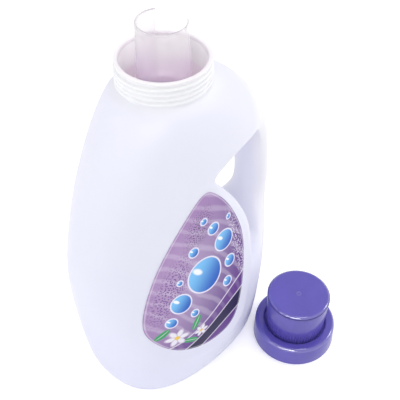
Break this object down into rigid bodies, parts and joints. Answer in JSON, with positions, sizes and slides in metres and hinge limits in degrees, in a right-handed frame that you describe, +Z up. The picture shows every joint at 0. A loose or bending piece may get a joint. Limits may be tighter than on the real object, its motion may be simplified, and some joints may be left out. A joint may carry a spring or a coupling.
{
  "type": "laundry detergent bottle",
  "caption": "Flat-sided plastic jug with a through handle, a slit pouring spout in its threaded neck, a film label, liquid inside and its dosing cap standing beside it.",
  "frame": {"origin": "middle of the whole part's outline, bottle and standing cap together, on the surface they stand on", "axes": "+Z up along the neck; the label faces -Y; the handle is at +X, and the cap stands at +X -Y"},
  "size_m": [0.1726, 0.1644, 0.2719],
  "materials": {
    "pearl_plastic": "satin, opaque pearl white polyethylene with a faint lavender cast",
    "natural_plastic": "satin, milky undyed polyethylene that lets a little light through",
    "violet_plastic": "satin gloss, dyed violet polypropylene",
    "printed_film": "gloss, lilac and violet printed film",
    "violet_liquid": "clear violet liquid, hidden by the opaque bottle"
  },
  "bodies": {
    "root": {"bottle": "pearl_plastic", "pour_spout": "natural_plastic", "dosing_cap": "violet_plastic", "front_label": "printed_film", "detergent": "violet_liquid"}
  },
  "joints": []
}
